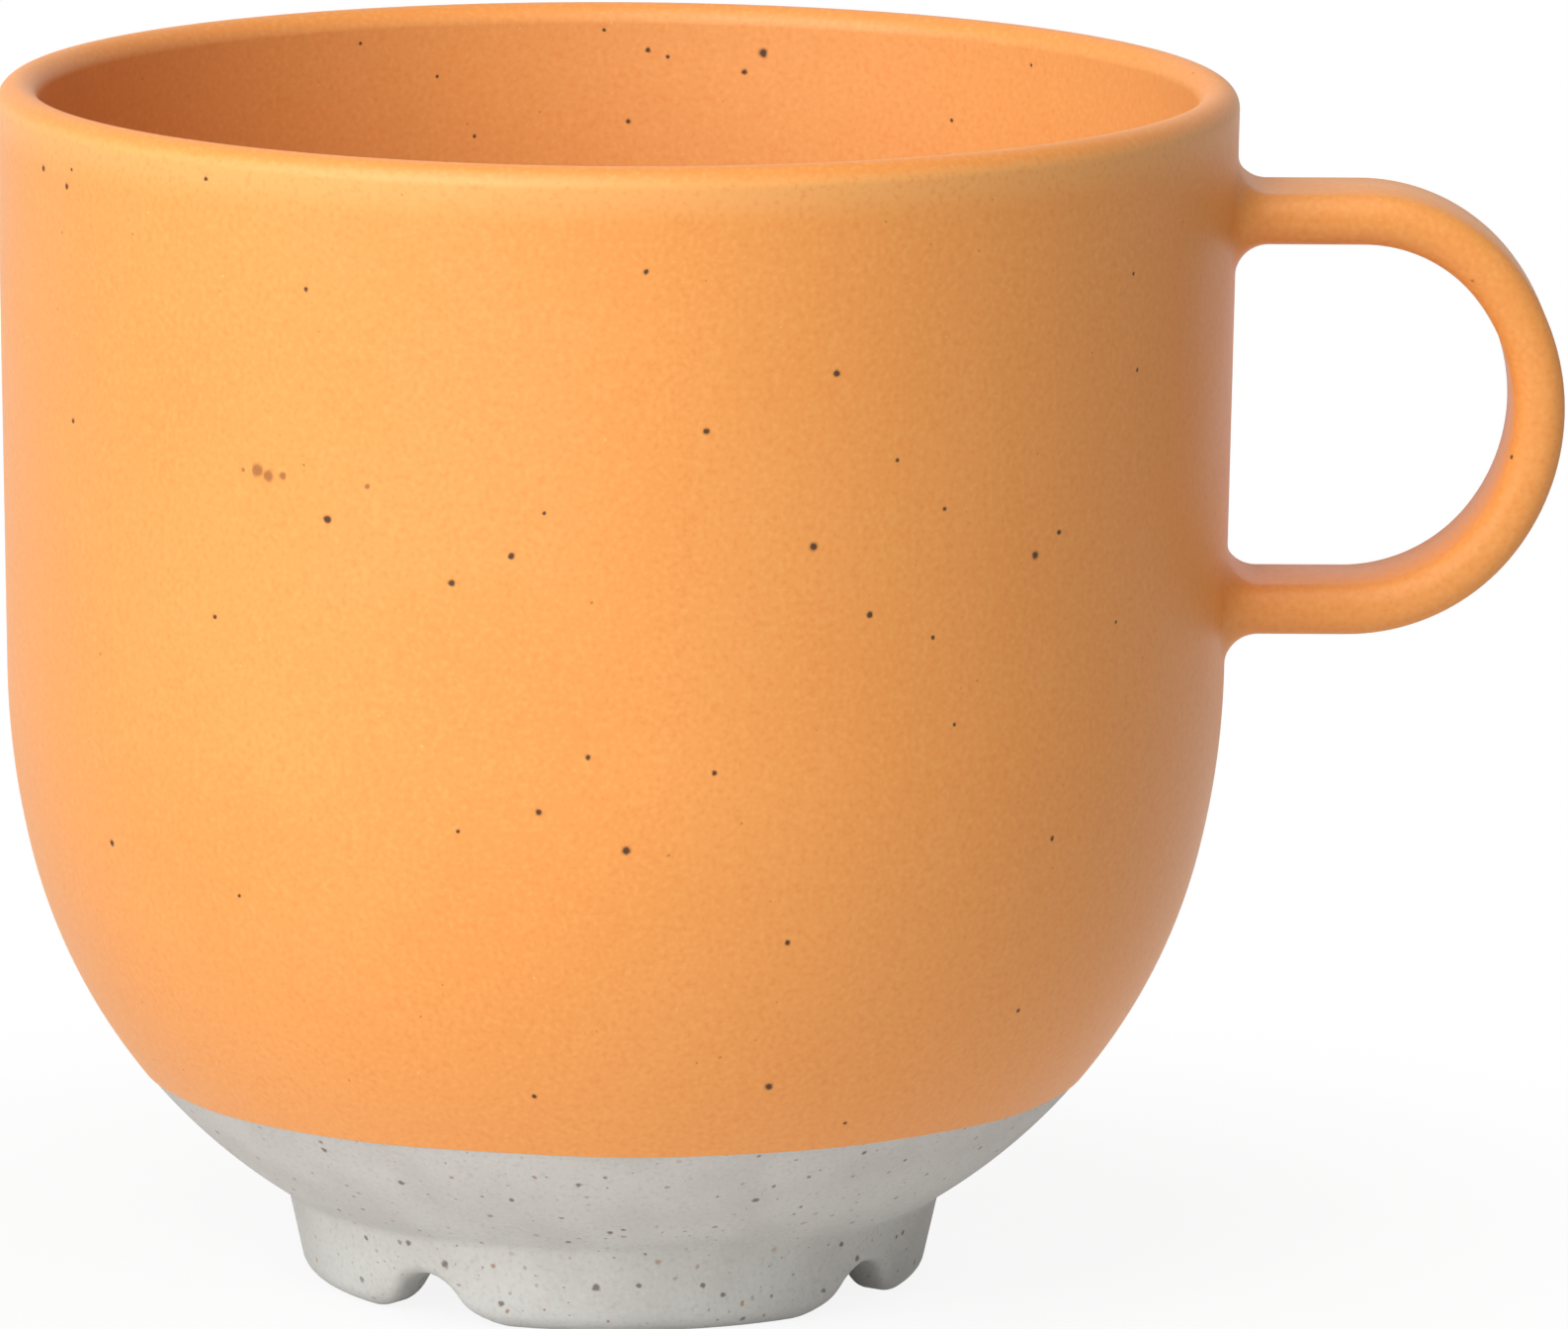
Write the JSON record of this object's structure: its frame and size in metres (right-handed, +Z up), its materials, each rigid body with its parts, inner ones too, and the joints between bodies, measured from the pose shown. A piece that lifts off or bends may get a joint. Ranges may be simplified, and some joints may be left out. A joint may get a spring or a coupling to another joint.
{
  "type": "stoneware mug",
  "caption": "Round-bellied stoneware mug with a loop handle, satin glaze and a bare clay foot ring cut by arched notches.",
  "frame": {"origin": "centre of the foot ring on the ground plane", "axes": "+Z up the mug's axis, +X from the axis towards the handle"},
  "size_m": [0.1137, 0.09, 0.0879],
  "materials": {
    "glaze": "satin apricot glaze with sparse iron specks",
    "bare_clay": "matt unglazed light grey clay with fine brown and grey specks"
  },
  "bodies": {
    "root": {"mug": "glaze"}
  },
  "joints": []
}
